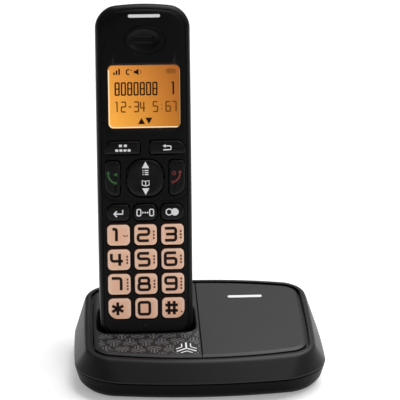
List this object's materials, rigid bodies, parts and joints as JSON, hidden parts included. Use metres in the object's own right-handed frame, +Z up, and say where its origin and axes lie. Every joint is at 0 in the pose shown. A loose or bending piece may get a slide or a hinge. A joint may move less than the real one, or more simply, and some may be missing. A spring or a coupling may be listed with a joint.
{
  "type": "cordless phone with base",
  "caption": "Cordless handset with backlit keypad and display, standing reclined in a low charging base with sprung contacts, rear sockets and a paging button.",
  "frame": {"origin": "on the desk under the centre of the base", "axes": "+Z up, -Y towards the user, +X to the user's right; the handset stands in the left half and reclines towards +Y"},
  "size_m": [0.124, 0.092, 0.1814],
  "materials": {
    "shell_black": "fine satin texture",
    "panel_black": "fine matte texture",
    "display_window": "clear gloss",
    "display_amber": "backlit amber",
    "light_guide": "milky",
    "silicone": "matte",
    "board_green": "solder mask",
    "steel": "bright",
    "contact_gold": "plated",
    "rubber_black": "matte",
    "component_black": "matte",
    "socket_black": "matte",
    "tin": "dull tin",
    "carrier_white": "matte",
    "cell_green": "sleeved",
    "transducer": "matte",
    "number_key": "translucent, backlit",
    "function_key": "satin"
  },
  "bodies": {
    "base": {"base_lower_shell": "shell_black", "base_upper_shell": "shell_black", "cradle_panel": "panel_black", "cover_panel": "panel_black", "base_pcb": "board_green", "line_jack": "socket_black", "power_jack": "socket_black", "rf_module": "tin", "base_components": "component_black", "page_switch": "component_black", "contact_carrier": "carrier_white", "rubber_feet": "rubber_black", "base_screws": "steel", "charge_spring_left": "steel", "charge_spring_right": "steel"},
    "handset": {"handset_front_shell": "shell_black", "handset_back_shell": "shell_black", "display_lens": "display_window", "lcd_panel": "display_amber", "backlight_plate": "light_guide", "keypad_mat": "silicone", "key_domes": "steel", "handset_pcb": "board_green", "handset_rf_shield": "tin", "earpiece_speaker": "transducer", "earpiece_mesh": "transducer", "microphone": "tin", "ringer_speaker": "transducer", "battery_left": "cell_green", "battery_right": "cell_green", "battery_springs": "steel", "battery_plates": "steel", "charge_pads": "contact_gold", "handset_screws": "steel"},
    "charge_pin_left_body": {"charge_pin_left": "contact_gold"},
    "charge_pin_right_body": {"charge_pin_right": "contact_gold"},
    "page_button_body": {"page_button": "shell_black"},
    "battery_cover_body": {"battery_cover": "shell_black"},
    "menu_key_body": {"menu_key": "function_key"},
    "back_key_body": {"back_key": "function_key"},
    "talk_key_body": {"talk_key": "function_key"},
    "end_key_body": {"end_key": "function_key"},
    "nav_key_body": {"nav_key": "function_key"},
    "recall_key_body": {"recall_key": "function_key"},
    "intercom_key_body": {"intercom_key": "function_key"},
    "redial_key_body": {"redial_key": "function_key"},
    "key_1_body": {"key_1": "number_key"},
    "key_2_body": {"key_2": "number_key"},
    "key_3_body": {"key_3": "number_key"},
    "key_4_body": {"key_4": "number_key"},
    "key_5_body": {"key_5": "number_key"},
    "key_6_body": {"key_6": "number_key"},
    "key_7_body": {"key_7": "number_key"},
    "key_8_body": {"key_8": "number_key"},
    "key_9_body": {"key_9": "number_key"},
    "key_star_body": {"key_star": "number_key"},
    "key_0_body": {"key_0": "number_key"},
    "key_hash_body": {"key_hash": "number_key"}
  },
  "joints": [
    {"name": "handset_lift", "type": "slide", "parent": "base", "child": "handset", "axis": [0, 0.1736, 0.9848], "range_m": [0, 0.06]},
    {"name": "battery_cover_lift", "type": "slide", "parent": "handset", "child": "battery_cover_body", "axis": [0, 0.9848, -0.1736], "range_m": [0, 0.012]},
    {"name": "page_press", "type": "slide", "parent": "base", "child": "page_button_body", "axis": [0, -1, 0], "range_m": [0, 0.0006], "stiffness_N_per_m": 300, "springref_m": -0.001},
    {"name": "charge_pin_left_press", "type": "slide", "parent": "base", "child": "charge_pin_left_body", "axis": [0, 0, -1], "range_m": [0, 0.0008], "stiffness_N_per_m": 150, "springref_m": -0.001, "deforming": ["charge_spring_left"]},
    {"name": "charge_pin_right_press", "type": "slide", "parent": "base", "child": "charge_pin_right_body", "axis": [0, 0, -1], "range_m": [0, 0.0008], "stiffness_N_per_m": 150, "springref_m": -0.001, "deforming": ["charge_spring_right"]},
    {"name": "menu_key_press", "type": "slide", "parent": "handset", "child": "menu_key_body", "axis": [0, 0.9848, -0.1736], "range_m": [0, 0.0006], "stiffness_N_per_m": 300, "springref_m": -0.0008},
    {"name": "back_key_press", "type": "slide", "parent": "handset", "child": "back_key_body", "axis": [0, 0.9848, -0.1736], "range_m": [0, 0.0006], "stiffness_N_per_m": 300, "springref_m": -0.0008},
    {"name": "talk_key_press", "type": "slide", "parent": "handset", "child": "talk_key_body", "axis": [0, 0.9848, -0.1736], "range_m": [0, 0.0006], "stiffness_N_per_m": 300, "springref_m": -0.0008},
    {"name": "end_key_press", "type": "slide", "parent": "handset", "child": "end_key_body", "axis": [0, 0.9848, -0.1736], "range_m": [0, 0.0006], "stiffness_N_per_m": 300, "springref_m": -0.0008},
    {"name": "nav_rock", "type": "hinge", "parent": "handset", "child": "nav_key_body", "pos_m": [-0.0256, 0.00724, 0.09808], "axis": [1, 0, 0], "range_deg": [-3, 3], "stiffness_Nm_per_rad": 0.06},
    {"name": "recall_key_press", "type": "slide", "parent": "handset", "child": "recall_key_body", "axis": [0, 0.9848, -0.1736], "range_m": [0, 0.0006], "stiffness_N_per_m": 300, "springref_m": -0.0008},
    {"name": "intercom_key_press", "type": "slide", "parent": "handset", "child": "intercom_key_body", "axis": [0, 0.9848, -0.1736], "range_m": [0, 0.0006], "stiffness_N_per_m": 300, "springref_m": -0.0008},
    {"name": "redial_key_press", "type": "slide", "parent": "handset", "child": "redial_key_body", "axis": [0, 0.9848, -0.1736], "range_m": [0, 0.0006], "stiffness_N_per_m": 300, "springref_m": -0.0008},
    {"name": "key_1_press", "type": "slide", "parent": "handset", "child": "key_1_body", "axis": [0, 0.9848, -0.1736], "range_m": [0, 0.0006], "stiffness_N_per_m": 300, "springref_m": -0.0008},
    {"name": "key_2_press", "type": "slide", "parent": "handset", "child": "key_2_body", "axis": [0, 0.9848, -0.1736], "range_m": [0, 0.0006], "stiffness_N_per_m": 300, "springref_m": -0.0008},
    {"name": "key_3_press", "type": "slide", "parent": "handset", "child": "key_3_body", "axis": [0, 0.9848, -0.1736], "range_m": [0, 0.0006], "stiffness_N_per_m": 300, "springref_m": -0.0008},
    {"name": "key_4_press", "type": "slide", "parent": "handset", "child": "key_4_body", "axis": [0, 0.9848, -0.1736], "range_m": [0, 0.0006], "stiffness_N_per_m": 300, "springref_m": -0.0008},
    {"name": "key_5_press", "type": "slide", "parent": "handset", "child": "key_5_body", "axis": [0, 0.9848, -0.1736], "range_m": [0, 0.0006], "stiffness_N_per_m": 300, "springref_m": -0.0008},
    {"name": "key_6_press", "type": "slide", "parent": "handset", "child": "key_6_body", "axis": [0, 0.9848, -0.1736], "range_m": [0, 0.0006], "stiffness_N_per_m": 300, "springref_m": -0.0008},
    {"name": "key_7_press", "type": "slide", "parent": "handset", "child": "key_7_body", "axis": [0, 0.9848, -0.1736], "range_m": [0, 0.0006], "stiffness_N_per_m": 300, "springref_m": -0.0008},
    {"name": "key_8_press", "type": "slide", "parent": "handset", "child": "key_8_body", "axis": [0, 0.9848, -0.1736], "range_m": [0, 0.0006], "stiffness_N_per_m": 300, "springref_m": -0.0008},
    {"name": "key_9_press", "type": "slide", "parent": "handset", "child": "key_9_body", "axis": [0, 0.9848, -0.1736], "range_m": [0, 0.0006], "stiffness_N_per_m": 300, "springref_m": -0.0008},
    {"name": "key_star_press", "type": "slide", "parent": "handset", "child": "key_star_body", "axis": [0, 0.9848, -0.1736], "range_m": [0, 0.0006], "stiffness_N_per_m": 300, "springref_m": -0.0008},
    {"name": "key_0_press", "type": "slide", "parent": "handset", "child": "key_0_body", "axis": [0, 0.9848, -0.1736], "range_m": [0, 0.0006], "stiffness_N_per_m": 300, "springref_m": -0.0008},
    {"name": "key_hash_press", "type": "slide", "parent": "handset", "child": "key_hash_body", "axis": [0, 0.9848, -0.1736], "range_m": [0, 0.0006], "stiffness_N_per_m": 300, "springref_m": -0.0008}
  ]
}
